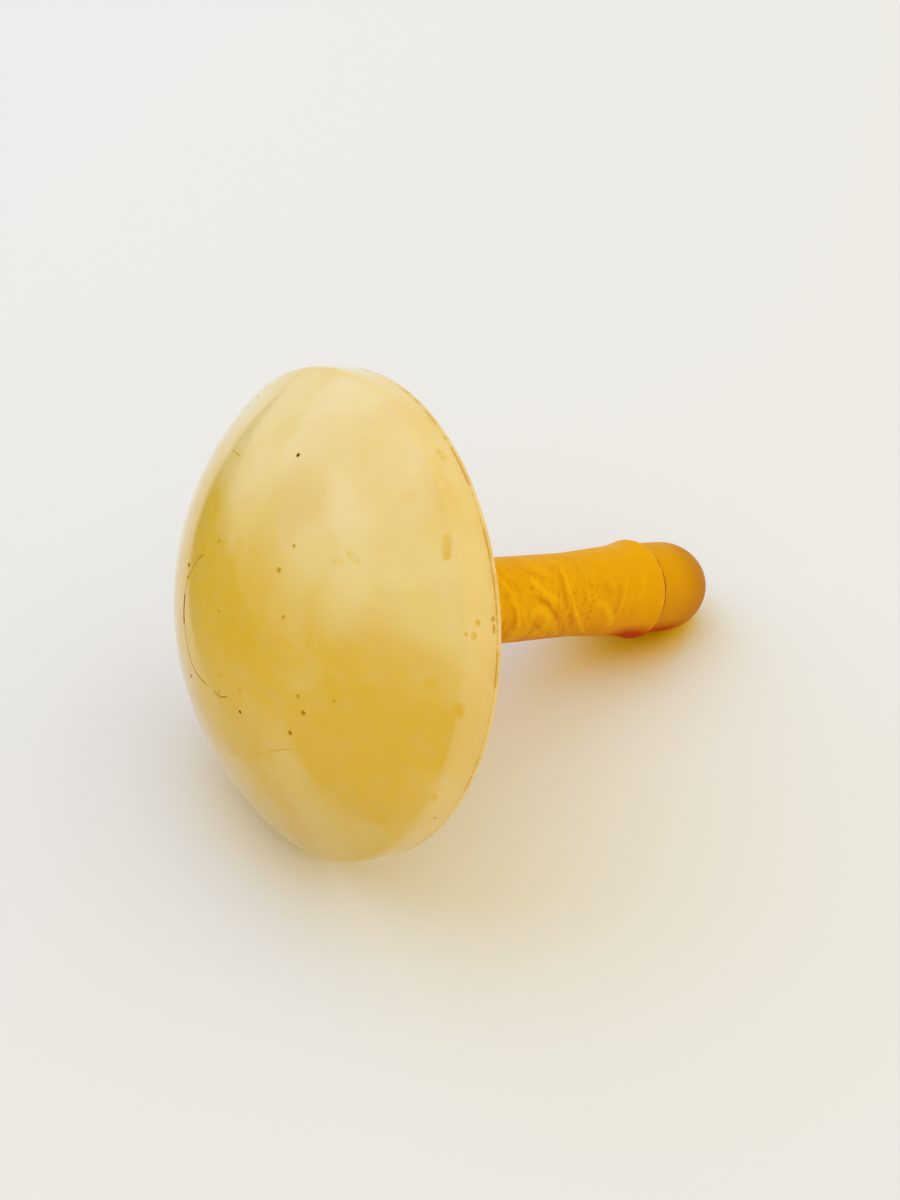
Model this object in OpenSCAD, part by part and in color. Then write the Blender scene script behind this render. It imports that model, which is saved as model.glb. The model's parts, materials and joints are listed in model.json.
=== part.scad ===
// Darning mushroom with a needle case in its handle.
// It lies on its side: the rim of the head and the nose of the end cap touch the table, z = 0.
// +X runs along the handle, away from the head. The origin is the middle of the footprint, on the table.
// Every piece is round. Its outline is a list of [distance, radius] points, where the distance is
// measured behind the back face of the head, towards the end of the handle. It is laid down at the end.

/* [Head] */
// Diameter of the head, over the straight band at the rim
head_d = 80; // [64:1:100]
// Width of the straight band at the rim, from the back face to the shoulder
band_w = 5.3; // [4.6:0.1:12]
// Radius of the sphere that the dome is part of
dome_r = 52.8; // [51:0.2:70]
// Radius of the soft shoulder between the band and the dome
shoulder_r = 2; // [0.5:0.1:4]
// Wall of the dome
dome_wall = 3.2; // [2:0.1:5]
// Outer diameter of the socket inside the dome
socket_d = 19; // [16:0.5:26]

/* [Back plate] */
// Thickness of the plate where it shows at the rim
plate_edge_t = 0.9; // [0.8:0.05:1.6]
// Thickness of the plate at its flat ring
plate_t = 3.4; // [3:0.1:5]
// Rounding of the plate's outer edge
rim_edge_r = 0.3; // [0.1:0.05:0.7]
// Width of the flat ring that the back of the head rests on
ring_w = 5; // [3:0.5:10]
// Depth of the shallow dish inside that ring
dish_depth = 1.2; // [0.5:0.1:1.8]
// Diameter of the collar round the foot of the handle
collar_d = 23; // [20:0.5:28]
// Height of the collar behind the back face
collar_h = 2.4; // [1:0.1:5]
// Rounding of the collar's edge
collar_edge_r = 0.9; // [0.2:0.1:0.9]
// Width of the hollow curve that rises to the collar
cove_w = 4.5; // [3:0.5:6]

/* [Handle] */
// Diameter of the straight shaft
shaft_d = 15.5; // [14:0.1:18]
// Distance from the back face of the head to the end of the handle
handle_len = 66.9; // [60:0.1:110]
// Diameter of the flare where the bead starts
flare_d = 17; // [16:0.1:18.4]
// Length of the flare before the bead
flare_len = 11; // [6:0.5:20]
// Largest diameter of the bead
bead_d = 19.1; // [18.8:0.1:24]
// Radius of the rounded lip of the bead
lip_r = 1.6; // [1.2:0.1:2]
// Length of the hollow rise from the flare to the bead
rise_len = 6; // [4.5:0.1:8]
// Diameter of the tenon in the head
tenon_d = 12; // [11:0.5:13]
// Length of the tenon past the plate
tenon_len = 10; // [6:0.5:12]
// Diameter of the needle chamber
chamber_d = 8.6; // [6:0.1:9.5]
// Length of the needle chamber, without its mouth
chamber_len = 46; // [35:0.5:50]

/* [End cap] */
// Diameter of the end cap
cap_d = 17.5; // [16.5:0.1:18.4]
// Length of the end cap, without its plug
cap_len = 17.3; // [14:0.1:30]
// Length of the round nose of the end cap
nose_len = 9.9; // [8:0.1:12]
// Rounding of the cap's edge at the seam
cap_edge_r = 0.3; // [0.1:0.05:0.8]
// Diameter of the plug
plug_d = 11; // [10:0.1:12]
// Length of the plug
plug_len = 9.5; // [6:0.5:12]

/* [Fits] */
// Radial clearance of the plug in the mouth of the handle
plug_clear = 0.08; // [0.05:0.01:0.15]
// Gap between the end of the plug and the step in the mouth
plug_end_gap = 0.5; // [0.2:0.1:1]
// Gap between the end of the tenon and the floor of the socket
tenon_end_gap = 0.5; // [0.2:0.1:1]
// Gap for cement round the tenon and inside the rim
cement_gap = 0.05; // [0.02:0.01:0.1]
// Bevel at the end of the tenon, the plate's seat, the plug and the mouth
bevel = 0.5; // [0.2:0.1:0.8]

/* [Hidden] */
$fn = 96;
arc_step = 3;
edge_step = 22.5;
edge_r = 3;
curve_steps = 10;
nose_steps = 12;
settle_steps = 8;
through = 1;

cream = [0.93, 0.83, 0.58];
pale_cream = [0.94, 0.85, 0.62];
amber = [0.88, 0.60, 0.05];
deep_amber = [0.84, 0.54, 0.04];

// Head
head_r = head_d / 2;
shoulder_x = -band_w;
dome_x = shoulder_x + sqrt(pow(dome_r - shoulder_r, 2) - pow(head_r - shoulder_r, 2));
shoulder_a = atan2(head_r - shoulder_r, shoulder_x - dome_x);
head_h = dome_r - dome_x;
inside_r = dome_r - dome_wall;
seat_r = head_r - dome_wall;
inside_a = 180 - asin(seat_r / inside_r);
socket_r = tenon_d / 2 + cement_gap;
tenon_x = -plate_t - tenon_len;
socket_x = tenon_x - tenon_end_gap;

// Back plate
collar_r = collar_d / 2;
ring_r = head_r - ring_w;
cove_r = collar_r + cove_w;

// Handle: the lip of the bead is an arc that ends at the seam, at the radius of the cap
shaft_r = shaft_d / 2;
flare_r = flare_d / 2;
bead_r = bead_d / 2;
cap_r = cap_d / 2;
lip_end = asin(max(0, min(0.98, (cap_r - bead_r + lip_r) / lip_r)));
lip_c = [handle_len - lip_r * cos(lip_end), bead_r - lip_r];
lip_start_a = 108;
lip_start = lip_c + lip_r * [cos(lip_start_a), sin(lip_start_a)];
rise_x = lip_c[0] - rise_len;
flare_slope = (flare_r - shaft_r) / flare_len;
flare_x = rise_x - flare_len;
flare_ease = 3;

// Mouth, plug and cap
plug_r = plug_d / 2;
mouth_r = plug_r + plug_clear;
mouth_x = handle_len - plug_len - plug_end_gap;
chamber_r = chamber_d / 2;
nose_x = handle_len + cap_len - nose_len;

// The table touches the edge of the rim, and the nose of the cap or the lip of the bead.
// The reach of the nose towards the table depends on the tilt, so its tilt is found in a few steps.
rim_c = [-rim_edge_r, head_r - rim_edge_r];
function nose_reach(t) = norm([nose_len * sin(t), cap_r * cos(t)]);
function tilt_on(c, reach) =
    let (span = c - rim_c)
    -atan2(span[1], span[0]) - asin((reach - rim_edge_r) / norm(span));
function settled(t, steps) = steps == 0 ? t : settled(tilt_on([nose_x, 0], nose_reach(t)), steps - 1);
tilt = min(settled(0, settle_steps), tilt_on(lip_c, lip_r));
back_z = rim_c * [sin(tilt), cos(tilt)] + rim_edge_r;

// The footprint is centred on the origin
front_reach = dome_r - dome_x * cos(tilt);
end_reach = nose_x * cos(tilt) + norm([nose_len * cos(tilt), cap_r * sin(tilt)]);
back_x = (front_reach - end_reach) / 2;

// Points on an arc, from angle a0 to angle a1, further apart on the small roundings of edges
function arc(c, r, a0, a1) =
    let (n = max(2, ceil(abs(a1 - a0) / (r < edge_r ? edge_step : arc_step))))
    [for (i = [0 : n])
        let (a = a0 + (a1 - a0) * i / n)
        c + r * [cos(a), abs(sin(a)) < 1e-9 ? 0 : sin(a)]];

// Points on a smooth curve that leaves p with slope s and reaches q with slope t
function blend(p, q, s, t) =
    let (w = q[0] - p[0])
    [for (i = [0 : curve_steps])
        let (u = i / curve_steps, v = 1 - u)
        [p[0] + u * w,
         v * v * (1 + 2 * u) * p[1] + u * v * v * w * s + u * u * (3 - 2 * u) * q[1] - u * u * v * w * t]];

// Turns an outline of [distance, radius] points about the axis
module turned(outline) {
    rotate_extrude()
        polygon([for (p = outline) [p[1], p[0]]]);
}

// Lays a piece down, with its +Z along the handle
module laid() {
    translate([back_x, 0, back_z])
        rotate([0, 90 + tilt, 0])
            children();
}

// Cream dome shell, with a socket for the handle inside
module head_dome() {
    outside = concat(
        [[-plate_edge_t, head_r]],
        arc([shoulder_x, head_r - shoulder_r], shoulder_r, 90, shoulder_a),
        arc([dome_x, 0], dome_r, shoulder_a, 180));
    inside = concat(
        arc([dome_x, 0], inside_r, 180, inside_a),
        [[-plate_edge_t, seat_r]]);
    color(cream)
        laid()
            difference() {
                union() {
                    turned(concat(outside, inside));
                    intersection() {
                        translate([0, 0, -head_h])
                            cylinder(r = socket_d / 2, h = head_h - plate_t);
                        translate([0, 0, dome_x])
                            sphere(r = dome_r - dome_wall / 2);
                    }
                }
                translate([0, 0, socket_x])
                    cylinder(r = socket_r, h = -socket_x);
            }
}

// Cream disc that closes the head, with a flat ring, a shallow dish and a collar
module back_plate() {
    plug_in = seat_r - cement_gap;
    front = [[-plate_t, socket_r], [-plate_t, plug_in - bevel], [-plate_t + bevel, plug_in],
             [-plate_edge_t, plug_in], [-plate_edge_t, head_r]];
    dish = [for (i = [0 : curve_steps])
        let (u = i / curve_steps)
        [-dish_depth * (1 - cos(180 * u)) / 2, ring_r + u * (cove_r - ring_r)]];
    cove = [for (i = [1 : curve_steps])
        let (u = i / curve_steps)
        [-dish_depth + (dish_depth + collar_h - collar_edge_r) * (1 - cos(90 * u)), cove_r - u * cove_w]];
    top = concat(
        arc([collar_h - collar_edge_r, collar_r - collar_edge_r], collar_edge_r, 90, 0),
        [[collar_h, socket_r]]);
    color(pale_cream)
        laid()
            turned(concat(front, arc(rim_c, rim_edge_r, 90, 0), dish, cove, top));
}

// Amber handle: a tenon, a shaft with a flare and a bead, and the needle chamber
module handle() {
    tenon_r = tenon_d / 2;
    ease_in = [flare_x - flare_ease, shaft_r];
    ease_out = [flare_x + flare_ease, shaft_r + flare_ease * flare_slope];
    outside = concat(
        [[tenon_x, 0], [tenon_x, tenon_r - bevel], [tenon_x + bevel, tenon_r], [collar_h, tenon_r],
         [collar_h, shaft_r]],
        blend(ease_in, ease_out, 0, flare_slope),
        blend([rise_x, flare_r], lip_start, flare_slope, -1 / tan(lip_start_a)),
        [for (p = arc(lip_c, lip_r, lip_start_a, lip_end)) if (p[0] > lip_start[0]) p],
        [[handle_len, 0]]);
    color(amber)
        laid()
            difference() {
                turned(outside);
                translate([0, 0, mouth_x - chamber_len])
                    cylinder(r = chamber_r, h = chamber_len + through);
                translate([0, 0, mouth_x])
                    cylinder(r = mouth_r, h = handle_len - mouth_x + through);
                translate([0, 0, handle_len - bevel])
                    cylinder(r1 = mouth_r, r2 = mouth_r + 2 * bevel, h = 2 * bevel);
            }
}

// Amber stopper, with a round nose and a plug
module end_cap() {
    plug_x = handle_len - plug_len;
    edge_c = [handle_len + cap_edge_r, cap_r - cap_edge_r];
    round_end = [for (i = [0 : nose_steps])
        let (a = 90 * i / nose_steps)
        [nose_x + nose_len * sin(a), i == nose_steps ? 0 : cap_r * cos(a)]];
    outside = concat(
        [[plug_x, 0], [plug_x, plug_r - bevel], [plug_x + bevel, plug_r], [handle_len, plug_r]],
        arc(edge_c, cap_edge_r, 180, 90),
        round_end);
    color(deep_amber)
        laid()
            turned(outside);
}

head_dome();
back_plate();
handle();
end_cap();
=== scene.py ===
import json
import math
import random

import bpy
import numpy as np
from mathutils import Matrix, Vector


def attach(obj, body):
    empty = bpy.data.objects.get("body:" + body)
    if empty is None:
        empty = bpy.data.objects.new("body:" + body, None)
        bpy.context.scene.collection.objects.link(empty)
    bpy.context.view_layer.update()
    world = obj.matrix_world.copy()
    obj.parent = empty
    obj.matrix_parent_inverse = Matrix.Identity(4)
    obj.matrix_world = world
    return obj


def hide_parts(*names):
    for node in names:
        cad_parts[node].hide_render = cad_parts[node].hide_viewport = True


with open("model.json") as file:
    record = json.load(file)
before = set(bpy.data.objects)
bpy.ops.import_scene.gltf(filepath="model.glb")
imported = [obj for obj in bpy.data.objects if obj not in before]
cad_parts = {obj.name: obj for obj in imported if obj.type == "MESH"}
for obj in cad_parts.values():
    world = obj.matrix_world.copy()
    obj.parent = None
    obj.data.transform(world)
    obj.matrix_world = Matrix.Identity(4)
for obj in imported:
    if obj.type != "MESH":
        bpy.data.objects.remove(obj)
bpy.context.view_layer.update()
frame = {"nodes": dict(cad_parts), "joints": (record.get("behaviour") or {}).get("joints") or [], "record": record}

# Camera
# It looks down on the head from the front left, as the photograph does. Its tilt is the angle away from
# straight down, and pixels are those of the 900 x 1200 photograph.
PHOTO_MIDDLE = Vector((450, 600))
PHOTO_LONG_SIDE = 1200
PHOTO_FOCAL = 1400
SENSOR = 36
CAMERA_PLACE = (-0.09872, -0.14884, 0.19744)
CAMERA_TILT = 46.31
CAMERA_TURN = -32.05
CAMERA_NEAR = 0.01
camera_data = bpy.data.cameras.new("camera")
camera = bpy.data.objects.new("camera", camera_data)
bpy.context.scene.collection.objects.link(camera)
camera.location = CAMERA_PLACE
camera.rotation_euler = (math.radians(CAMERA_TILT), 0, math.radians(CAMERA_TURN))
camera_data.sensor_width = SENSOR
camera_data.lens = SENSOR * PHOTO_FOCAL / PHOTO_LONG_SIDE
camera_data.clip_start = CAMERA_NEAR
bpy.context.scene.camera = camera

# Head
# A hollow dome moulded in cream resin, which the sock is stretched over. A straight band runs round its
# rim, and a socket inside takes the handle. Air bubbles, pinholes, a hairline crack and a chip mark it.

# A millimetre in metres, gaps at which two corners are one, and a guard against dividing by nothing
MM = 0.001
SAME_PLACE = 0.001 * MM
WELD = 0.002 * MM
TINY = 1e-6
SMOOTH_BELOW = math.radians(40)
# The axis of the handle, from the head to the cap: its way, the way square to it and up, and its drop.
# Every distance along it is taken from the middle of the back face.
to_end = -Vector(frame["joints"][0]["axis"])
outward = Vector((-to_end.z, 0, to_end.x))
tilt = math.atan2(-to_end.z, to_end.x)
back_ring = next(mount for mount in frame["record"]["mounts"] if mount["name"] == "back_ring")
back = Vector((back_ring["pos_m"][0], 0, back_ring["pos_m"][2]))


def point(along, out):
    """A place above the handle's axis, from its distance behind the back face and its radius in mm."""
    return back + (to_end * along + outward * out) * MM


def reach(node):
    """The nearest and furthest distance and the largest radius of a CAD node, in mm."""
    places = np.array([(corner.co - back) / MM for corner in frame["nodes"][node].data.vertices])
    along = places @ np.array(to_end)
    out = np.linalg.norm(places - np.outer(along, to_end), axis=1)
    return along.min(), along.max(), out.max()


def arc(centre, radius, start, end, spacing):
    """Points on an arc of an outline, between two angles in degrees, about as far apart as spacing."""
    count = max(2, math.ceil(abs(math.radians(end - start)) * radius / spacing))
    angles = [math.radians(start + (end - start) * i / count) for i in range(count + 1)]
    return [(centre[0] + radius * math.cos(a), centre[1] + radius * math.sin(a)) for a in angles]


def straight(first, last, spacing):
    """Points on a straight stretch of an outline."""
    count = max(1, math.ceil(math.dist(first, last) / spacing))
    return [(first[0] + (last[0] - first[0]) * i / count, first[1] + (last[1] - first[1]) * i / count)
            for i in range(count + 1)]


def turned(name, outline, steps):
    """Extrudes an outline of (distance, radius) points and spins it about the axis of the handle."""
    corners = [point(*outline[0])]
    for along, out in outline[1:]:
        if (point(along, out) - corners[-1]).length > SAME_PLACE:
            corners.append(point(along, out))
    bpy.ops.object.select_all(action="DESELECT")
    bpy.ops.mesh.primitive_plane_add(size=MM, location=corners[0])
    piece = bpy.context.object
    piece.name = name
    piece.data.name = name
    bpy.ops.object.transform_apply(location=True, rotation=False, scale=False)
    bpy.ops.object.mode_set(mode="EDIT")
    bpy.ops.mesh.select_mode(type="VERT")
    bpy.ops.mesh.merge(type="CENTER")
    for here, there in zip(corners, corners[1:]):
        bpy.ops.mesh.extrude_vertices_move(TRANSFORM_OT_translate={"value": there - here})
    bpy.ops.mesh.select_all(action="SELECT")
    bpy.ops.mesh.spin(steps=steps, angle=math.tau, center=back, axis=to_end)
    bpy.ops.mesh.select_all(action="SELECT")
    bpy.ops.mesh.remove_doubles(threshold=WELD)
    bpy.ops.mesh.normals_make_consistent(inside=False)
    bpy.ops.object.mode_set(mode="OBJECT")
    return piece


head_front, head_edge, head_r = reach("head_dome")
head_steps = 256
dome_r = 52.8
shoulder_r = 2
dome_wall = 3.2
socket_wall_r = 9.5
socket_r = 6.05
socket_floor = -13.9
plate_front = -3.4
joint_bevel = 0.05
dome_c = head_front + dome_r
shoulder_ahead = math.sqrt((dome_r - shoulder_r) ** 2 - (head_r - shoulder_r) ** 2)
shoulder_c = (dome_c - shoulder_ahead, head_r - shoulder_r)
shoulder_turn = math.degrees(math.atan2(shoulder_c[1], shoulder_c[0] - dome_c))
inside_r = dome_r - dome_wall
seat_r = head_r - dome_wall


def turn_at(out):
    """The turn of a point on the inside of the dome, about the centre of the dome, at a radius."""
    return 180 - math.degrees(math.asin(out / inside_r))


dome_outline = (
    arc((dome_c, 0), dome_r, 180, shoulder_turn, spacing=1)
    + arc(shoulder_c, shoulder_r, shoulder_turn, 90, spacing=0.25)
    + straight((shoulder_c[0], head_r), (head_edge - joint_bevel, head_r), spacing=1)
    + [(head_edge, head_r - joint_bevel), (head_edge, seat_r)]
    + arc((dome_c, 0), inside_r, turn_at(seat_r), turn_at(socket_wall_r), spacing=3)
    + [(plate_front, socket_wall_r), (plate_front, socket_r), (socket_floor, socket_r), (socket_floor, 0)]
)
dome = turned("dome_shell", dome_outline, head_steps)


def seen_on(piece, pixels):
    """The places on a piece, in metres, that lie on the camera's lines of sight through some pixels."""
    bpy.context.view_layer.update()
    places = []
    for pixel in pixels:
        across, down = (Vector(pixel) - PHOTO_MIDDLE) / PHOTO_FOCAL
        sight = camera.matrix_world.to_3x3() @ Vector((across, -down, -1))
        found, place, _, _ = piece.ray_cast(camera.location, sight.normalized())
        if not found:
            raise ValueError(f"pixel {pixel} isn't on {piece.name}")
        places.append(place)
    return places


def layout(piece):
    """The corners of a piece from the middle of the back face, in mm: places, distances, radii and rays."""
    places = np.empty(len(piece.data.vertices) * 3)
    piece.data.vertices.foreach_get("co", places)
    places = (places.reshape(-1, 3) - np.array(back)) / MM
    along = places @ np.array(to_end)
    rays = places - np.outer(along, to_end)
    return places, along, np.linalg.norm(rays, axis=1), rays


def move(piece, places):
    """Puts the corners of a piece at new places, given in mm from the middle of the back face."""
    piece.data.vertices.foreach_set("co", (places * MM + np.array(back)).ravel())
    piece.data.update()


def far_from(places, path):
    """How far places are from a path of one or more points."""
    gaps = np.full(len(places), np.inf)
    for first, last in zip(path, path[1:] or path):
        run = last - first
        share = np.clip((places - first) @ run / max(run @ run, TINY), 0, 1)
        gaps = np.minimum(gaps, np.linalg.norm(places - first - np.outer(share, run), axis=1))
    return gaps


def falling(gaps, zone):
    """One up to the start of a zone, then falling smoothly to zero at its end."""
    near, far = zone
    share = np.clip((far - gaps) / (far - near), 0, 1)
    return share * share * (3 - 2 * share)


def rounded(path):
    """A path with its corners cut twice, so that it runs in a smooth curve."""
    for _ in range(2):
        cut = [path[0]]
        for first, last in zip(path, path[1:]):
            cut += [first.lerp(last, 0.25), first.lerp(last, 0.75)]
        path = cut + [path[-1]]
    return path


class Mark:
    """A mark on the resin along a path: half width and depth in mm, and how brown, ochre or aged it is."""

    def __init__(self, path, half_width, depth=0, **tints):
        self.path = [np.array((place - back) / MM) for place in path]
        self.half_width = half_width
        self.depth = depth
        self.tints = tints


def divide_near(piece, marks, margin, cuts):
    """Divides the faces of a piece that lie within a margin of a mark."""
    middles = np.array([(face.center - back) / MM for face in piece.data.polygons])
    near = np.zeros(len(middles), bool)
    for mark in marks:
        near |= far_from(middles, mark.path) < mark.half_width + margin
    bpy.ops.object.select_all(action="DESELECT")
    piece.select_set(True)
    bpy.context.view_layer.objects.active = piece
    bpy.ops.object.mode_set(mode="EDIT")
    bpy.ops.mesh.select_mode(type="FACE")
    bpy.ops.mesh.select_all(action="DESELECT")
    bpy.ops.object.mode_set(mode="OBJECT")
    piece.data.polygons.foreach_set("select", near)
    bpy.ops.object.mode_set(mode="EDIT")
    bpy.ops.mesh.subdivide(number_cuts=cuts)
    bpy.ops.object.mode_set(mode="OBJECT")


# How far below the true surface a new corner between old ones can lie, and where the band ends, just short
# of its bevel, in mm
dome_sag = 0.5
shoulder_sag = 0.4
band_sag = 0.1
band_end = head_edge - joint_bevel - 0.01


def round_out(piece):
    """Lifts new corners on the outside of the head on to the true dome, shoulder or band."""
    places, along, out, rays = layout(piece)
    rays /= np.maximum(out, TINY)[:, None]
    dome_centre = np.array(to_end) * dome_c
    from_dome = places - dome_centre
    dome_gap = np.linalg.norm(from_dome, axis=1)
    turn = np.degrees(np.arctan2(out, along - dome_c))
    on_dome = (turn > shoulder_turn) & (dome_gap > dome_r - dome_sag)
    places[on_dome] = dome_centre + from_dome[on_dome] * (dome_r / dome_gap[on_dome])[:, None]
    ring = np.array(to_end) * shoulder_c[0] + rays * shoulder_c[1]
    from_ring = places - ring
    ring_gap = np.linalg.norm(from_ring, axis=1)
    on_shoulder = ~on_dome & (along < shoulder_c[0]) & (out > shoulder_c[1])
    on_shoulder &= ring_gap > shoulder_r - shoulder_sag
    lift = (shoulder_r / ring_gap[on_shoulder])[:, None]
    places[on_shoulder] = ring[on_shoulder] + from_ring[on_shoulder] * lift
    on_band = (along >= shoulder_c[0]) & (along < band_end) & (out > head_r - band_sag)
    places[on_band] += rays[on_band] * (head_r - out[on_band])[:, None]
    move(piece, places)


# How thick the outer skin is that marks reach, in mm, and where their colour fades, in half widths: it has
# a sharp edge on a pressed mark and a soft one on a stain
mark_skin = 1
pressed_edge = (0.625, 1.25)
stain_edge = (0.3, 1.3)


def wear(piece, marks):
    """Presses the marks into a piece, and stores how brown, ochre and aged they make its outer skin."""
    places, along, out, rays = layout(piece)
    inward = np.array(to_end) * dome_c - places
    outside = (out > head_r - mark_skin) | (np.linalg.norm(inward, axis=1) > dome_r - mark_skin)
    inward[along > shoulder_c[0]] = -rays[along > shoulder_c[0]]
    inward /= np.maximum(np.linalg.norm(inward, axis=1), TINY)[:, None]
    press = np.zeros(len(places))
    worn = {tint: np.zeros(len(places)) for tint in ("dirt", "stain", "aged")}
    for mark in marks:
        gaps = far_from(places, mark.path) / mark.half_width
        press = np.maximum(press, mark.depth * np.clip(1 - gaps ** 2, 0, 1))
        shown = falling(gaps, pressed_edge if mark.depth else stain_edge)
        for tint, strength in mark.tints.items():
            worn[tint] += strength * shown * (1 - worn[tint])
    places[outside] += (inward * press[:, None])[outside]
    move(piece, places)
    for tint, strength in worn.items():
        store = piece.data.attributes.new(tint, "FLOAT", "POINT")
        store.data.foreach_set("value", strength * outside)


# Burst air bubbles that have filled with dirt: pixel, radius in mm and how dark the dirt is
bubbles = {
    (298, 455): (0.32, 1), (303, 713): (0.4, 0.45), (290, 733): (0.4, 0.5), (240, 712): (0.3, 0.95),
    (189, 565): (0.36, 1), (191, 676): (0.32, 0.95), (188, 577): (0.27, 0.9),
}
# Pinholes that have turned brown: pixel and radius in mm
pinholes = {
    (279, 570): 0.36, (219, 611): 0.25, (240, 690): 0.2, (219, 692): 0.22, (204, 547): 0.2,
    (195, 534): 0.17, (196, 624): 0.2, (298, 696): 0.28, (334, 701): 0.2, (294, 546): 0.26,
    (283, 617): 0.26, (258, 397): 0.3, (248, 407): 0.2, (435, 818): 0.25, (219, 541): 0.3,
}
# Soft ochre stains: the pixels that each runs through, its half width in mm and its strength
stains = [
    ([(447, 538), (447, 556)], 0.7, 0.9), ([(459, 707), (460, 714)], 0.8, 0.9),
    ([(427, 682), (434, 682)], 0.8, 0.7), ([(361, 756), (366, 758)], 0.8, 0.7),
    ([(337, 731), (342, 735)], 0.8, 0.6), ([(239, 544), (239, 551)], 1.6, 0.4),
    ([(227, 647), (230, 652)], 1.3, 0.5), ([(278, 638), (289, 648)], 0.8, 0.5),
    ([(349, 554), (358, 561)], 0.6, 0.45), ([(262, 615), (272, 632)], 1.4, 0.35),
    ([(326, 682), (336, 692)], 1.6, 0.3), ([(214, 541), (224, 543)], 0.5, 0.5),
    ([(216, 676), (223, 672)], 0.4, 0.6), ([(333, 560), (342, 562)], 0.6, 0.3),
    ([(392, 770), (402, 776)], 1.6, 0.3), ([(236, 640), (236, 600)], 1.6, 0.2),
    ([(340, 640), (352, 652)], 1.3, 0.25), ([(300, 660), (306, 676)], 1.2, 0.2),
    ([(440, 453), (443, 458)], 0.9, 0.5), ([(434, 796), (435, 799)], 0.6, 0.6),
    ([(432, 470), (446, 500)], 2.4, 0.25),
]
# Broad places where the resin has aged to a deeper yellow, or stayed paler where the strength is below
# zero: pixel, half width in mm and strength
aged_places = {
    (405, 705): (13, 0.5), (345, 745): (9, 0.75), (436, 740): (7, 0.3), (300, 498): (6, 0.35),
    (400, 806): (7, 0.3), (212, 500): (5, 0.35), (258, 718): (6, -0.25), (300, 392): (5, -0.5),
    (360, 385): (5, -0.3),
}
# Ochre spots on the rim: pixel, radius in mm and how dark the dirt is
spots = {(493, 619): (0.4, 0.3), (478, 623): (0.5, 0.08), (474, 636): (0.6, 0.06), (466, 634): (0.3, 0.06)}
# Lines, as the pixels that each runs through. The crack stands open along a part of its length.
crack = [
    [(203, 555), (197, 560), (192, 570), (188, 577), (185, 592), (184, 603), (184, 615), (186, 635),
     (189, 656), (196, 673), (206, 684)],
    [(215, 692), (220, 697), (227, 697)],
]
crack_open = [(185, 595), (184, 606), (184, 622)]
scratches = [
    [(269, 751), (290, 749)], [(255, 754), (262, 754)], [(231, 754), (238, 754)],
    [(233, 450), (240, 456)], [(198, 560), (203, 554)], [(218, 676), (222, 674)],
]
hairline = 0.13
gape = 0.24
# Depths of the small marks: in mm, and as a share of the radius of bubbles and pinholes, whose stains
# reach out further than they do
line_depth = 0.01
crack_depth = 0.03
gape_depth = 0.08
bubble_depth = 0.5
bubble_reach = 1.5
pinhole_depth = 0.12
pinhole_reach = 1.2
# The chip in the rim, which runs on into the back plate
chip = [(494, 626), (494, 632)]
chip_form = {"half_width": 0.25, "depth": 0.12, "dirt": 0.2, "stain": 0.9}

marks = [Mark(seen_on(dome, [pixel]), size, depth=bubble_depth * size, dirt=dark, stain=1)
         for pixel, (size, dark) in bubbles.items()]
marks += [Mark(seen_on(dome, [pixel]), bubble_reach * size, stain=1)
          for pixel, (size, _) in bubbles.items()]
marks += [Mark(seen_on(dome, [pixel]), pinhole_reach * size, depth=pinhole_depth * size, dirt=0.3, stain=1)
          for pixel, size in pinholes.items()]
marks += [Mark(seen_on(dome, path), width, stain=strength) for path, width, strength in stains]
marks += [Mark(seen_on(dome, [pixel]), size, depth=line_depth, dirt=dark, stain=0.8)
          for pixel, (size, dark) in spots.items()]
marks += [Mark(rounded(seen_on(dome, path)), hairline, depth=crack_depth, dirt=0.5, stain=1)
          for path in crack]
marks += [Mark(rounded(seen_on(dome, crack_open)), gape, depth=gape_depth, dirt=1, stain=1)]
marks += [Mark(seen_on(dome, path), hairline, depth=line_depth, dirt=0.12, stain=1) for path in scratches]
marks += [Mark(seen_on(dome, chip), **chip_form)]

# The side that the photograph doesn't show has stains, pinholes and bubbles in turn, strewn at random
strew = random.Random(7)
hidden_count = 26
hidden_marks = []
while len(hidden_marks) < hidden_count:
    lean = math.acos(1 - strew.random() * (1 - math.cos(math.radians(180 - shoulder_turn))))
    spin = strew.uniform(0, math.tau)
    ray = Matrix.Rotation(spin, 3, to_end) @ (-to_end * math.cos(lean) + outward * math.sin(lean))
    place = back + (to_end * dome_c + ray * dome_r) * MM
    if ray.dot(camera.location - place) > 0:
        continue
    kind = len(hidden_marks) % 3
    if kind == 0:
        size = strew.uniform(0.7, 1.4)
        hidden_marks.append(Mark([place], size, stain=strew.uniform(0.3, 0.8)))
    elif kind == 1:
        size = strew.uniform(0.17, 0.3)
        hidden_marks.append(Mark([place], size, depth=0.06, dirt=0.4, stain=1))
    else:
        size = strew.uniform(0.2, 0.36)
        hidden_marks.append(Mark([place], size, depth=0.8 * size, dirt=strew.uniform(0.4, 1), stain=1))
marks += hidden_marks
divide_near(dome, marks, margin=1, cuts=3)
divide_near(dome, [mark for mark in marks if mark.depth], margin=0.25, cuts=2)
round_out(dome)
marks += [Mark(seen_on(dome, [pixel]), width, aged=strength)
          for pixel, (width, strength) in aged_places.items()]
wear(dome, marks)
bpy.ops.object.shade_smooth_by_angle(angle=SMOOTH_BELOW)


def shade(hue):
    """A colour as a render shows it, from 0 to 255, turned into the light that a material gives back."""
    parts = [value / 255 for value in hue]
    return tuple(v / 12.92 if v <= 0.04045 else ((v + 0.055) / 1.055) ** 2.4 for v in parts) + (1,)


def feed(tree, node, inputs):
    """Gives the inputs of a node, by name or number, their values or the outputs that feed them."""
    for name, value in inputs.items():
        if isinstance(value, bpy.types.NodeSocket):
            tree.links.new(value, node.inputs[name])
        else:
            node.inputs[name].default_value = value
    return node


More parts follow.
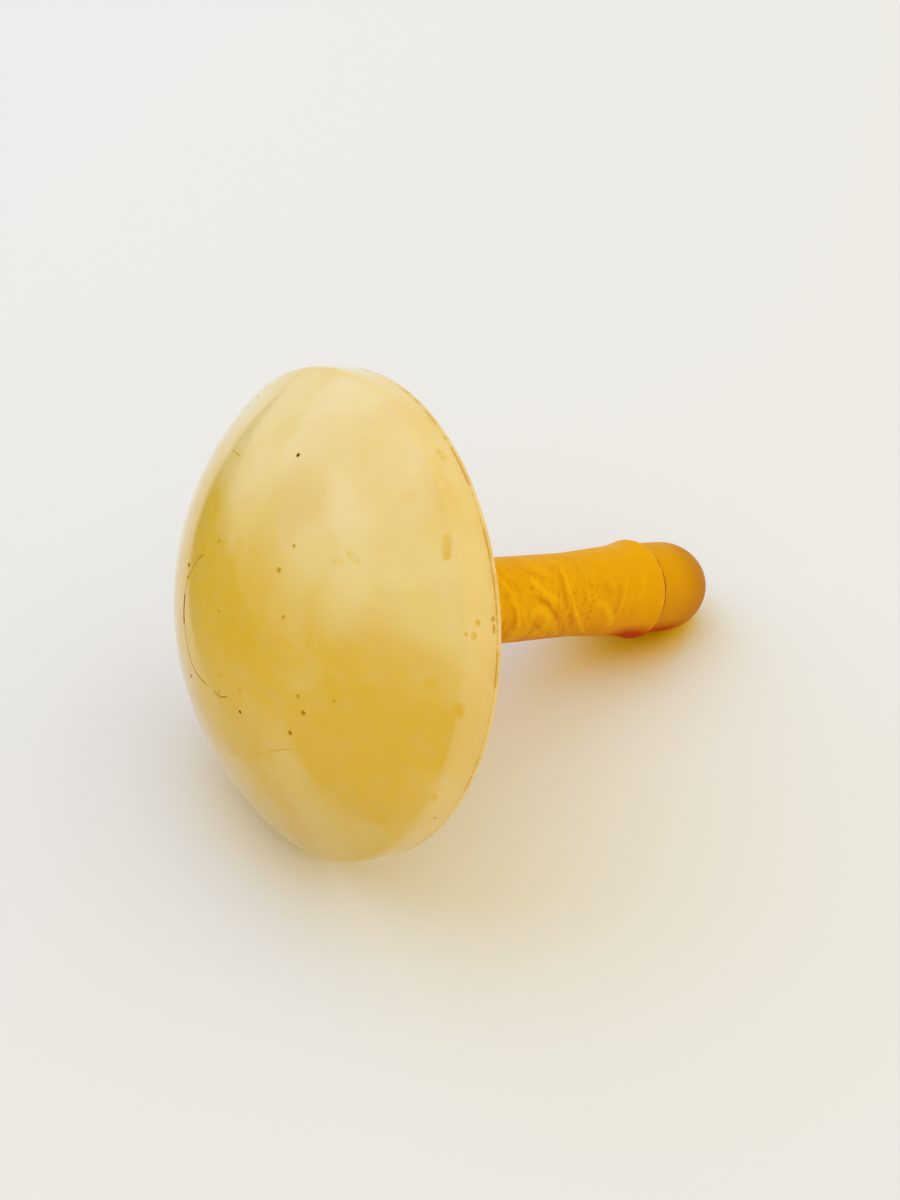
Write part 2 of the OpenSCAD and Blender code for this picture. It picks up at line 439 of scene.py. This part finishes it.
def add(tree, kind, inputs, **settings):
    """Adds a shader node with its settings and inputs."""
    node = tree.nodes.new("ShaderNode" + kind)
    for name, value in settings.items():
        setattr(node, name, value)
    return feed(tree, node, inputs)


def sums(tree, operation, first, second, clamp=False):
    """The result of a sum of two values."""
    return add(tree, "Math", {0: first, 1: second}, operation=operation, use_clamp=clamp).outputs[0]


def rise(tree, value, zone, bottom=0.0, top=1.0):
    """A value that goes smoothly from bottom to top while another goes through a zone."""
    limits = {"Value": value, "From Min": zone[0], "From Max": zone[1], "To Min": bottom, "To Max": top}
    return add(tree, "MapRange", limits, interpolation_type="SMOOTHSTEP").outputs["Result"]


def gap_to(tree, value, target):
    """How far a value is from a target."""
    return sums(tree, "ABSOLUTE", sums(tree, "SUBTRACT", value, target), 0)


def mix(tree, share, first, second, blend="MIX"):
    """A mix of two colours, which are inputs 6 and 7 and output 2 of a Mix node."""
    return add(tree, "Mix", {0: share, 6: first, 7: second}, data_type="RGBA", blend_type=blend).outputs[2]


def cloud(tree, place, size, detail, roughness=0.5, distortion=0.0, output="Fac"):
    """Noise with patches of about a size in mm."""
    values = {"Vector": place, "Scale": 1 / size, "Detail": detail, "Roughness": roughness,
              "Distortion": distortion}
    return add(tree, "TexNoise", values).outputs[output]


def stored(tree, name):
    """A value that the corners of the piece hold."""
    return add(tree, "Attribute", {}, attribute_name=name).outputs["Fac"]


def group_of(name, inputs, outputs):
    """A node group with named inputs and outputs, its given values and the node that puts them out."""
    tree = bpy.data.node_groups.new(name, "ShaderNodeTree")
    for way, sockets in (("INPUT", inputs), ("OUTPUT", outputs)):
        for label, kind in sockets.items():
            tree.interface.new_socket(label, in_out=way, socket_type="NodeSocket" + kind)
    return tree, tree.nodes.new("NodeGroupInput").outputs, tree.nodes.new("NodeGroupOutput")


def new_material(name):
    """A material, its node tree, its shader and the places on its object."""
    material = bpy.data.materials.new(name)
    material.use_nodes = True
    tree = material.node_tree
    return material, tree, tree.nodes["Principled BSDF"], add(tree, "TexCoord", {}).outputs["Object"]


def along_handle(tree, place):
    """Places in mm from the back face with X along the handle, their parts and their gaps from the axis."""
    shift = Matrix.Rotation(-tilt, 3, "Y") @ back / -MM
    turn = {"Vector": place, "Location": shift, "Rotation": (0, -tilt, 0), "Scale": [1 / MM] * 3}
    place = add(tree, "Mapping", turn).outputs[0]
    parts = add(tree, "SeparateXYZ", {0: place}).outputs
    across = add(tree, "CombineXYZ", {1: parts["Y"], 2: parts["Z"]}).outputs[0]
    return place, parts, add(tree, "VectorMath", {0: across}, operation="LENGTH").outputs["Value"]


# Old cream resin: clouds that run from ivory to ochre, with milky patches and small ochre flecks
milky_tone = shade((238, 206, 148))
fleck_tone = shade((214, 164, 60))
clouded, given, put = group_of(
    "clouded_resin",
    {"Place": "Vector", "Ivory": "Color", "Ochre": "Color", "Yellowing": "Float", "Patchiness": "Float"},
    {"Color": "Color"})
broad = cloud(clouded, given["Place"], size=17, detail=2, distortion=0.3)
patches = cloud(clouded, given["Place"], size=6.5, detail=3, roughness=0.55, distortion=0.25)
milk = cloud(clouded, given["Place"], size=3.4, detail=2, distortion=0.2)
flecks = cloud(clouded, given["Place"], size=1.3, detail=2)
yellowing = sums(clouded, "ADD", given["Yellowing"], rise(clouded, broad, (0.3, 0.7), -0.22, 0.22))
patchy = sums(clouded, "MULTIPLY", rise(clouded, patches, (0.25, 0.75), -0.14, 0.14), given["Patchiness"])
yellowing = sums(clouded, "ADD", yellowing, patchy, clamp=True)
resin = mix(clouded, yellowing, given["Ivory"], given["Ochre"])
resin = mix(clouded, rise(clouded, milk, (0.4, 0.75), 0.0, 0.14), resin, milky_tone)
resin = mix(clouded, rise(clouded, flecks, (0.66, 0.8), 0.0, 0.16), resin, fleck_tone)
feed(clouded, put, {"Color": resin})

# Handling: dull smears, and a skin that isn't quite even
handled, given, put = group_of(
    "handled_surface",
    {"Place": "Vector", "Roughness": "Float", "Unevenness": "Float"},
    {"Roughness": "Float", "Height": "Float"})
smears = cloud(handled, given["Place"], size=6, detail=3, roughness=0.6, distortion=1.2)
dull = sums(handled, "MULTIPLY", rise(handled, smears, (0.35, 0.65), -1.0, 1.0), given["Unevenness"])
dull = sums(handled, "ADD", given["Roughness"], dull, clamp=True)
waves = cloud(handled, given["Place"], size=4, detail=2)
ripples = sums(handled, "MULTIPLY", cloud(handled, given["Place"], size=0.5, detail=2), 0.06)
feed(handled, put, {"Roughness": dull, "Height": sums(handled, "ADD", waves, ripples)})


def rubbed(tree, place, roughness, unevenness):
    """The roughness and the normal of a surface that hands have rubbed."""
    values = {"Place": place, "Roughness": roughness, "Unevenness": unevenness}
    surface = add(tree, "Group", values, node_tree=handled).outputs
    bump = add(tree, "Bump", {"Strength": 0.1, "Distance": 0.05 * MM, "Height": surface["Height"]})
    return surface["Roughness"], bump.outputs["Normal"]


# Where the cream changes, in mm: X behind the back face, Z above the axis, and gaps from the joint. The changes
# with Z and the paler band are painted light and shade.
painted_shade_yellowing_z = (2, 28)
crown_x = (-23.5, -18)
band_x = (-7, -6.3)
band_z = (18, 34)
shaded_z = (-36, 2)
joint_line = (0.05, 0.24)
joint_seep = (0.1, 1.8)
joint_skin = (head_r - 2, head_r - 1)
band_sheen_tone = shade((243, 212, 142))
shaded_tint = (0.85, 0.83, 0.74, 1)
seep_tone = shade((228, 182, 60))
stain_tone = shade((234, 186, 22))
joint_tone = shade((218, 164, 30))
dirt_tone = shade((104, 40, 0))


def cream(name, ivory, ochre, yellow_above, yellow_below, joint_dirt):
    """Cream resin, yellower at the crown, with painted shade that makes it yellower and darker low down, a painted
    sheen on the band of its rim, and a gloss that the dirt in its marks dulls.
    """
    material, tree, shader, place = new_material(name)
    place, parts, from_axis = along_handle(tree, place)
    # Painted light and shade: the cream is paler on top and yellower low down, as light falls on the head as it
    # lies
    yellowing = rise(tree, parts["Z"], painted_shade_yellowing_z, yellow_below, yellow_above)
    yellowing = sums(tree, "ADD", yellowing, rise(tree, parts["X"], crown_x, 0.45, 0.0))
    yellowing = sums(tree, "ADD", yellowing, stored(tree, "aged"))
    tones = {"Place": place, "Ivory": ivory, "Ochre": ochre, "Yellowing": yellowing, "Patchiness": 0.5}
    colour = add(tree, "Group", tones, node_tree=clouded).outputs["Color"]
    # Painted sheen: the band on the rim is paler, more so low down than on top
    band = sums(tree, "MULTIPLY", rise(tree, parts["X"], band_x), rise(tree, parts["Z"], band_z, 0.5, 0.2))
    colour = mix(tree, band, colour, band_sheen_tone)
    # Painted shade: the lower half of the head is darker
    colour = mix(tree, rise(tree, parts["Z"], shaded_z, 1.0, 0.0), colour, shaded_tint, "MULTIPLY")
    broken = rise(tree, cloud(tree, place, size=4.5, detail=4, roughness=0.65), (0.42, 0.6), 0.15, 1.0)
    broken = sums(tree, "MULTIPLY", broken, rise(tree, from_axis, joint_skin))
    broken = sums(tree, "MULTIPLY", broken, joint_dirt)
    joint = gap_to(tree, parts["X"], head_edge)
    line = sums(tree, "MULTIPLY", rise(tree, joint, joint_line, 1.0, 0.0), broken)
    seep = sums(tree, "MULTIPLY", rise(tree, joint, joint_seep, 0.35, 0.0), broken)
    ragged = rise(tree, cloud(tree, place, size=1.1, detail=3, roughness=0.6), (0.3, 0.6), 0.5, 1.0)
    stain = sums(tree, "MULTIPLY", stored(tree, "stain"), ragged)
    dirt = stored(tree, "dirt")
    colour = mix(tree, seep, colour, seep_tone)
    colour = mix(tree, stain, colour, stain_tone)
    colour = mix(tree, line, colour, joint_tone)
    colour = mix(tree, dirt, colour, dirt_tone)
    dull, normal = rubbed(tree, place, roughness=0.13, unevenness=0.04)
    gloss = sums(tree, "MULTIPLY", rise(tree, dirt, (0.0, 0.3), 1.0, 0.0),
                 rise(tree, dull, (0.09, 0.17), 1.0, 0.85))
    dull = sums(tree, "ADD", dull, sums(tree, "MULTIPLY", dirt, 0.6))
    feed(tree, shader, {
        "Base Color": colour, "Roughness": dull, "Specular IOR Level": 0.02, "Normal": normal,
        "Coat Weight": gloss, "Coat Roughness": 0.13, "Coat IOR": 1.41})
    return material


dome.data.materials.append(cream(
    "cream_resin", ivory=shade((246, 222, 149)), ochre=shade((233, 191, 52)),
    yellow_above=0.05, yellow_below=0.8, joint_dirt=0.9))
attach(dome, "mushroom")
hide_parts("head_dome")

# Back plate
# A disc of slightly paler cream resin, cemented into the rim of the head. Behind the joint only its thin
# edge shows. Its face has a flat ring, a shallow dish and a collar round the foot of the handle.
plate_back, collar_top, plate_r = reach("back_plate")
plate_play = 0.05
plate_plug_r = seat_r - plate_play
plate_bevel = 0.5
rim_edge_r = 0.3
ring_width = 5
ring_r = plate_r - ring_width
dish_depth = 1.2
collar_r = 11.5
collar_edge_r = 0.9
cove_width = 4.5
cove_r = collar_r + cove_width
cove_top = collar_top - collar_edge_r


def eased(first, last, count, bend):
    """Points between two places, whose distance follows a bend from 0 to 1 while the radius runs evenly."""
    runs = [i / count for i in range(count + 1)]
    return [(first[0] + (last[0] - first[0]) * bend(u), first[1] + (last[1] - first[1]) * u) for u in runs]


plate_outline = (
    [(head_edge, plate_plug_r), (head_edge, plate_r - joint_bevel), (head_edge + joint_bevel, plate_r)]
    + straight((head_edge + joint_bevel, plate_r), (-rim_edge_r, plate_r), spacing=0.25)
    + arc((-rim_edge_r, plate_r - rim_edge_r), rim_edge_r, 90, 0, spacing=0.1)
    + straight((0, plate_r - rim_edge_r), (0, ring_r), spacing=1.2)
    + eased((0, ring_r), (-dish_depth, cove_r), 20, lambda u: (1 - math.cos(math.pi * u)) / 2)
    + eased((-dish_depth, cove_r), (cove_top, collar_r), 12, lambda u: 1 - math.cos(math.pi * u / 2))
    + arc((cove_top, collar_r - collar_edge_r), collar_edge_r, 90, 0, spacing=0.15)
    + [(collar_top, socket_r), (plate_back, socket_r), (plate_back, plate_plug_r - plate_bevel)]
    + [(plate_back + plate_bevel, plate_plug_r), (head_edge, plate_plug_r)]
)
plate = turned("rim_plate", plate_outline, head_steps)
plate_marks = [Mark(seen_on(dome, chip), **chip_form)]
divide_near(plate, plate_marks, margin=0.6, cuts=3)
wear(plate, plate_marks)
bpy.ops.object.shade_smooth_by_angle(angle=SMOOTH_BELOW)
plate.data.materials.append(cream(
    "cream_plate_resin", ivory=shade((247, 226, 164)), ochre=shade((240, 202, 92)),
    yellow_above=0.0, yellow_below=0.6, joint_dirt=1.7))
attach(plate, "mushroom")
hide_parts("back_plate")

# Handle
# A tube turned from marbled amber resin, cemented into the head by its tenon. It flares into a rounded
# bead at its end, and it is bored from there to hold the darning needles.
tenon_end, handle_end, bead_r = reach("handle")
rod_steps = 144
rod_spacing = 0.34
shaft_r = 7.75
tenon_r = 6
tenon_bevel = 0.5
flare_r = 8.5
flare_len = 11
flare_ease = 3
rise_len = 6
lip_r = 1.6
lip_start = 108
mouth_r = 5.58
mouth_depth = 10
mouth_bevel = 0.5
chamber_r = 4.3
chamber_len = 46
cap_start, cap_end, cap_r = reach("end_cap")
lip_end = math.degrees(math.asin((cap_r - bead_r + lip_r) / lip_r))
lip_c = (handle_end - lip_r * math.cos(math.radians(lip_end)), bead_r - lip_r)
lip = arc(lip_c, lip_r, lip_start, lip_end, spacing=0.2)
rise_x = lip_c[0] - rise_len
flare_x = rise_x - flare_len
flare_slope = (flare_r - shaft_r) / flare_len
lip_slope = -1 / math.tan(math.radians(lip_start))
mouth_x = handle_end - mouth_depth


def curve(first, last, leave, arrive):
    """Points on a smooth curve that leaves one place with a slope and arrives at another with a slope."""
    run = last[0] - first[0]
    count = math.ceil(run / rod_spacing)
    points = []
    for i in range(count + 1):
        u = i / count
        v = 1 - u
        out = (v * v * (1 + 2 * u) * first[1] + u * v * v * run * leave
               + u * u * (3 - 2 * u) * last[1] - u * u * v * run * arrive)
        points.append((first[0] + u * run, out))
    return points


ease_in = (flare_x - flare_ease, shaft_r)
ease_out = (flare_x + flare_ease, shaft_r + flare_ease * flare_slope)
handle_outline = (
    [(tenon_end, 0), (tenon_end, tenon_r - tenon_bevel)]
    + [(tenon_end + tenon_bevel, tenon_r), (collar_top, tenon_r)]
    + straight((collar_top, shaft_r), ease_in, rod_spacing)
    + curve(ease_in, ease_out, 0, flare_slope)
    + straight(ease_out, (rise_x, flare_r), rod_spacing)
    + curve((rise_x, flare_r), lip[0], flare_slope, lip_slope)
    + lip
    + [(handle_end, mouth_r + mouth_bevel), (handle_end - mouth_bevel, mouth_r), (mouth_x, mouth_r)]
    + [(mouth_x, chamber_r), (mouth_x - chamber_len, chamber_r), (mouth_x - chamber_len, 0)]
)
handle = turned("amber_handle", handle_outline, rod_steps)

# Swirls in the amber where the photograph shows them: pixels, half width in mm and strength
light_swirls = [
    ([(503, 582), (510, 591), (515, 600), (518, 611), (519, 621), (520, 627)], 0.45, 0.8),
    ([(532, 580), (539, 586), (547, 593), (555, 599)], 0.8, 1.0),
    ([(533, 612), (540, 609), (546, 612), (550, 619), (546, 627)], 0.9, 0.8),
    ([(561, 569), (566, 580), (570, 591), (573, 600), (575, 609), (579, 621), (583, 632)], 0.32, 1.0),
    ([(537, 562), (543, 569), (549, 575)], 0.4, 0.8),
    ([(508, 575), (519, 584), (524, 595), (526, 607)], 0.35, 0.5),
    ([(599, 602), (607, 607), (611, 615), (610, 624)], 0.7, 0.7),
    ([(643, 574), (644, 585), (641, 598)], 0.5, 0.4),
    ([(616, 615), (623, 604), (626, 592), (627, 578)], 0.4, 0.4),
]
dark_swirls = [
    ([(503, 596), (511, 602), (515, 610), (516, 622)], 0.6, 0.7),
    ([(529, 577), (532, 587), (532, 594), (531, 602), (529, 613), (526, 626)], 0.3, 0.9),
    ([(533, 595), (541, 600), (548, 603), (552, 610), (557, 617)], 0.5, 0.9),
    ([(557, 564), (561, 576), (563, 589), (566, 601), (569, 612), (572, 624)], 0.5, 0.8),
    ([(514, 562), (519, 567), (527, 572), (537, 575), (546, 578), (554, 584)], 0.28, 0.7),
    ([(620, 589), (618, 602), (615, 612)], 0.8, 0.5), ([(606, 586), (612, 594)], 0.9, 0.4),
    ([(530, 621), (539, 627), (542, 633)], 0.4, 0.6), ([(562, 624), (563, 632)], 0.4, 0.5),
]
pore_pixels = [
    (572, 579), (575, 593), (586, 599), (584, 604), (590, 606), (587, 613), (591, 611), (589, 585),
    (592, 586), (598, 586), (592, 595), (588, 618), (594, 601),
]
pores = [([pixel], 0.22, 0.7) for pixel in pore_pixels]
# How swirls come again on the sides not seen: slide in mm, turn in radians, and minus one if mirrored
in_place = (0, 0, 1)
swirl_edge = (0.4, 1.4)
swirls_again = [(3, 1.4, -1), (-15, 3.1, 1), (-32, 1.4, -1), (-21, 0.2, 1), (-30, 4.4, -1), (-42, 0, 1)]
pores_again = [(-22, 2.6, -1)]
marbling = {
    "light_swirl": (light_swirls, swirls_again), "dark_swirl": (dark_swirls, swirls_again),
    "pore": (pores, pores_again),
}


def unrolled(places):
    """Distances behind the back face in mm and turns about the axis in radians of places in metres."""
    offsets = (np.array(places).reshape(-1, 3) - np.array(back)) / MM
    turns = np.arctan2(offsets[:, 1], offsets @ np.array(outward))
    return np.stack([offsets @ np.array(to_end), turns], axis=1)


def swirl_strength(corners, swirls, shifts):
    """How strongly swirls show at the corners, each at all its shifts."""
    strengths = np.zeros(len(corners))
    for pixels, half_width, strength in swirls:
        path = unrolled(seen_on(handle, pixels))
        for slide, turn, mirror in shifts:
            moved = path * (1, mirror) + (slide, turn)
            turns = (corners[:, 1] - moved[0, 1] + math.pi) % math.tau - math.pi + moved[0, 1]
            flat = np.stack([corners[:, 0], turns * shaft_r], axis=1)
            gaps = far_from(flat, list(moved * (1, shaft_r))) / half_width
            strengths = np.maximum(strengths, strength * falling(gaps, swirl_edge))
    return strengths


spread = unrolled([corner.co for corner in handle.data.vertices])
for label, (swirls, again) in marbling.items():
    store = handle.data.attributes.new(label, "FLOAT", "POINT")
    store.data.foreach_set("value", swirl_strength(spread, swirls, [in_place] + again))
bpy.ops.object.shade_smooth_by_angle(angle=SMOOTH_BELOW)

# Marbled amber resin: light veins and dark strands, folded into each other and stretched round the rod
noise_middle = (0.5, 0.5, 0.5)
fold_reach = 9
stretch = (1, 0.4, 0.4)
marbled, given, put = group_of(
    "marbled_resin",
    {"Place": "Vector", "Light": "Color", "Middle": "Color", "Dark": "Color",
     "Light Swirl": "Float", "Dark Swirl": "Float", "Veining": "Float"},
    {"Color": "Color"})
fold = cloud(marbled, given["Place"], size=9, detail=2, distortion=0.6, output="Color")
fold = add(marbled, "VectorMath", {0: fold, 1: noise_middle}, operation="SUBTRACT").outputs[0]
fold = add(marbled, "VectorMath", {0: fold, "Scale": fold_reach}, operation="SCALE").outputs[0]
folded = add(marbled, "VectorMath", {0: given["Place"], 1: fold}, operation="ADD").outputs[0]
stretched = add(marbled, "Mapping", {"Vector": folded, "Scale": stretch}).outputs[0]
veins = cloud(marbled, stretched, size=3.2, detail=4, roughness=0.55, distortion=0.8)
strands = cloud(marbled, stretched, size=1.6, detail=3, roughness=0.6, distortion=1.5)
ragged = rise(marbled, cloud(marbled, folded, size=0.8, detail=3, roughness=0.6), (0.25, 0.6), 0.55, 1.0)
light = sums(marbled, "MULTIPLY", rise(marbled, veins, (0.5, 0.62), 0.0, 0.5), given["Veining"])
dark = sums(marbled, "MULTIPLY", rise(marbled, strands, (0.4, 0.52), 0.4, 0.0), given["Veining"])
light = sums(marbled, "MAXIMUM", light, sums(marbled, "MULTIPLY", given["Light Swirl"], ragged), clamp=True)
dark = sums(marbled, "MAXIMUM", dark, sums(marbled, "MULTIPLY", given["Dark Swirl"], ragged), clamp=True)
amber_tone = mix(marbled, dark, given["Middle"], given["Dark"])
feed(marbled, put, {"Color": mix(marbled, light, amber_tone, given["Light"])})

# Where the amber changes, in mm: X behind the back face, Z above the axis, and gaps from the seam of the cap or
# from the middle of the painted red shade under the bead. The paler top is painted light, and the darker underside
# and the deep red under the bead are painted shade.
calm_x = (42, 56)
painted_light_z = (0, 8)
painted_shade_under_z = (-8.5, 3)
nose_x = (70, 80)
seam_gap = (0.2, 0.5)
outer_skin = (cap_r - 0.9, cap_r - 0.3)
painted_red_shade_x = 67
painted_red_shade_gap = (5, 11)
painted_red_shade_z = (-5.2, -1.2)
pore_tone = shade((160, 70, 0))
painted_light_tone = shade((238, 182, 0))
painted_shade_under_tint = (0.84, 0.68, 1, 1)
nose_tone = shade((190, 119, 0))
seam_tone = shade((156, 66, 0))
painted_red_shade_tone = shade((188, 36, 0))


def amber(name, light, middle, dark, swirls):
    """Amber resin with its own tones. Swirls and pores are read from the piece where it stores them."""
    material, tree, shader, place = new_material(name)
    place, parts, from_axis = along_handle(tree, place)
    calm = rise(tree, parts["X"], calm_x, 1.0, 0.25)
    values = {"Place": place, "Light": light, "Middle": middle, "Dark": dark, "Veining": calm}
    if swirls:
        values["Light Swirl"] = stored(tree, "light_swirl")
        values["Dark Swirl"] = stored(tree, "dark_swirl")
    colour = add(tree, "Group", values, node_tree=marbled).outputs["Color"]
    if swirls:
        colour = mix(tree, stored(tree, "pore"), colour, pore_tone)
    # Painted light: the top of the amber is paler and yellower
    colour = mix(tree, rise(tree, parts["Z"], painted_light_z, 0.0, 0.35), colour, painted_light_tone)
    # Painted shade: the underside of the amber is darker
    colour = mix(tree, rise(tree, parts["Z"], painted_shade_under_z, 1.0, 0.0), colour, painted_shade_under_tint, "MULTIPLY")
    colour = mix(tree, rise(tree, parts["X"], nose_x, 0.0, 0.85), colour, nose_tone)
    outside = rise(tree, from_axis, outer_skin)
    worn = rise(tree, cloud(tree, place, size=3, detail=3, roughness=0.6), (0.35, 0.6), 0.3, 0.9)
    seam = rise(tree, gap_to(tree, parts["X"], handle_end), seam_gap, 1.0, 0.0)
    seam = sums(tree, "MULTIPLY", seam, sums(tree, "MULTIPLY", worn, outside))
    colour = mix(tree, seam, colour, seam_tone)
    # Painted shade: deep red on the underside of the bead and cap, where they lie in shade close to the floor
    painted_red_shade = rise(tree, gap_to(tree, parts["X"], painted_red_shade_x), painted_red_shade_gap, 1.0, 0.0)
    painted_red_shade = sums(tree, "MULTIPLY", rise(tree, parts["Z"], painted_red_shade_z, 0.95, 0.0), painted_red_shade)
    colour = mix(tree, sums(tree, "MULTIPLY", painted_red_shade, outside), colour, painted_red_shade_tone)
    dull, normal = rubbed(tree, place, roughness=0.45, unevenness=0.06)
    feed(tree, shader, {
        "Base Color": colour, "Roughness": dull, "IOR": 1.2, "Specular IOR Level": 0.25, "Normal": normal})
    return material


handle.data.materials.append(amber(
    "amber_resin", light=shade((252, 194, 0)), middle=shade((237, 165, 0)), dark=shade((204, 126, 0)),
    swirls=True))
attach(handle, "mushroom")
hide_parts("handle")

# End cap
# The stopper of the needle chamber, turned from the same amber. It has a round nose, is slightly slimmer
# than the bead, and its plug holds it in the mouth of the handle by friction.
plug_r = 5.5
plug_bevel = 0.5
cap_edge_r = 0.3
nose_len = 9.9
nose_steps = 40
nose_c = cap_end - nose_len
nose_turns = [math.radians(90 * i / nose_steps) for i in range(1, nose_steps)]
cap_outline = (
    [(cap_start, 0), (cap_start, plug_r - plug_bevel)]
    + [(cap_start + plug_bevel, plug_r), (handle_end, plug_r)]
    + arc((handle_end + cap_edge_r, cap_r - cap_edge_r), cap_edge_r, 180, 90, spacing=0.08)
    + straight((handle_end + cap_edge_r, cap_r), (nose_c, cap_r), rod_spacing)
    + [(nose_c + nose_len * math.sin(turn), cap_r * math.cos(turn)) for turn in nose_turns]
    + [(cap_end, 0)]
)
cap = turned("amber_cap", cap_outline, rod_steps)
bpy.ops.object.shade_smooth_by_angle(angle=SMOOTH_BELOW)
cap.data.materials.append(amber(
    "amber_cap_resin", light=shade((230, 160, 0)), middle=shade((221, 149, 0)), dark=shade((204, 128, 0)),
    swirls=False))
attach(cap, "end_cap")
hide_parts("end_cap")

# Floor
# A pale sheet that runs out of sight. Painted warm shade tints it close to the object, and painted amber light
# yellows it close to the handle, where light through the amber would fall at the contact. Distances are in metres,
# and nearness is 1 far from the object.
floor_size = 6
nearness_reach = 0.025
painted_shade_nearness = (0.3, 0.95)
painted_amber_light_nearness = (0.43, 0.63)
painted_amber_light_side = (-0.02, 0.02)
backdrop_zone = (0.45, 1.4)
sheet_tone = shade((239, 240, 242))
painted_shade_tone = shade((240, 235, 218))
painted_amber_light_tone = shade((252, 222, 24))
backdrop_tone = shade((232, 232, 230))


def seen_ray(tree):
    """One for a ray that shows the pale background, straight or in a reflection, and zero for the rest."""
    rays = add(tree, "LightPath", {}).outputs
    straight_or_mirrored = sums(tree, "MAXIMUM", rays["Is Camera Ray"], rays["Is Glossy Ray"])
    return sums(tree, "MAXIMUM", straight_or_mirrored, rays["Is Transmission Ray"])


bpy.ops.object.select_all(action="DESELECT")
bpy.ops.mesh.primitive_plane_add(size=floor_size, location=(0, 0, 0))
floor = bpy.context.object
floor.name = "floor"
material, tree, shader, place = new_material("pale_floor")
nearness = add(tree, "AmbientOcclusion", {"Distance": nearness_reach}, samples=8).outputs["AO"]
# Painted amber light: a yellow pool on the floor close to the handle, where light through the amber would fall
painted_amber_light_reach = rise(tree, add(tree, "SeparateXYZ", {0: place}).outputs["X"], painted_amber_light_side, 0.2, 1.0)
painted_amber_light = sums(tree, "MULTIPLY", rise(tree, nearness, painted_amber_light_nearness, 1.0, 0.0), painted_amber_light_reach)
# Painted shade: the floor turns warm where the object is near
sheet = mix(tree, rise(tree, nearness, painted_shade_nearness, 1.0, 0.0), sheet_tone, painted_shade_tone)
sheet = mix(tree, painted_amber_light, sheet, painted_amber_light_tone)
from_middle = add(tree, "VectorMath", {0: place}, operation="LENGTH").outputs["Value"]
far_off = sums(tree, "MULTIPLY", rise(tree, from_middle, backdrop_zone), seen_ray(tree))
feed(tree, shader, {
    "Base Color": mix(tree, far_off, sheet, (0, 0, 0, 1)), "Roughness": 0.9, "IOR": 1.0,
    "Emission Color": backdrop_tone, "Emission Strength": far_off})
floor.data.materials.append(material)

# Dark board
# It lies on the floor beyond the left edge of the pale sheet. Only reflections show it, and the sheen on
# the left of the dome ends at its edge, as it does in the photograph.
board_size = 2.4
board_place = (-1.19, 1.199, 0.0004)
board_turn = math.radians(-4.9)
board_edge = (-1.12, -0.98)
board_near_tone = shade((239, 239, 240))
board_tone = shade((90, 80, 60))
bpy.ops.object.select_all(action="DESELECT")
bpy.ops.mesh.primitive_plane_add(size=board_size, location=board_place, rotation=(0, 0, board_turn))
board = bpy.context.object
board.name = "dark_board"
board.visible_camera = False
board.visible_diffuse = False
board.visible_shadow = False
material, tree, shader, place = new_material("dark_board")
from_edge = add(tree, "SeparateXYZ", {0: place}).outputs["Y"]
tone = mix(tree, rise(tree, from_edge, board_edge), board_near_tone, board_tone)
feed(tree, shader, {"Base Color": tone, "Roughness": 0.9})
board.data.materials.append(material)

# Lamps and sky
# A large soft lamp high behind the head, a weaker one at the front right, and a sky that is darker near
# the horizon, as a room is. Each lamp lights a white floor to its own share of full white.
lamps = {
    "key_lamp": {"place": (-0.6, 1.1, 1.6), "share": 0.27, "size": 2.4, "colour": (0.42, 0.78, 1.85)},
    "fill_lamp": {"place": (1.2, -1.4, 1.5), "share": 0.16, "size": 4.0, "colour": (1.12, 1.0, 0.66)},
}
for name, form in lamps.items():
    place = Vector(form["place"])
    lamp_data = bpy.data.lights.new(name, "AREA")
    lamp_data.size = form["size"]
    lamp_data.energy = form["share"] * math.pi ** 2 * place.length ** 3 / place.z
    lamp_data.color = form["colour"]
    lamp = bpy.data.objects.new(name, lamp_data)
    lamp.location = place
    lamp.rotation_euler = (-place).to_track_quat("-Z", "Y").to_euler()
    bpy.context.scene.collection.objects.link(lamp)

sky_heights = (0.0, 0.45)
low_strength = 0.26
high_strength = 0.76
low_tint = (1.2, 1.0, 0.45, 1)
high_tint = (1.11, 1.0, 0.68, 1)
world = bpy.data.worlds.new("studio")
bpy.context.scene.world = world
world.use_nodes = True
sky = world.node_tree
ray_way = add(sky, "TexCoord", {}).outputs["Generated"]
height = add(sky, "SeparateXYZ", {0: ray_way}).outputs["Z"]
seen = seen_ray(sky)
strength = rise(sky, height, sky_heights, low_strength, high_strength)
strength = add(sky, "Mix", {0: seen, 2: strength, 3: 1.0}).outputs[0]
tint = mix(sky, rise(sky, height, sky_heights), low_tint, high_tint)
feed(sky, sky.nodes["Background"], {"Strength": strength, "Color": mix(sky, seen, tint, backdrop_tone)})
bpy.context.scene.view_settings.view_transform = "Standard"

bpy.context.view_layer.update()
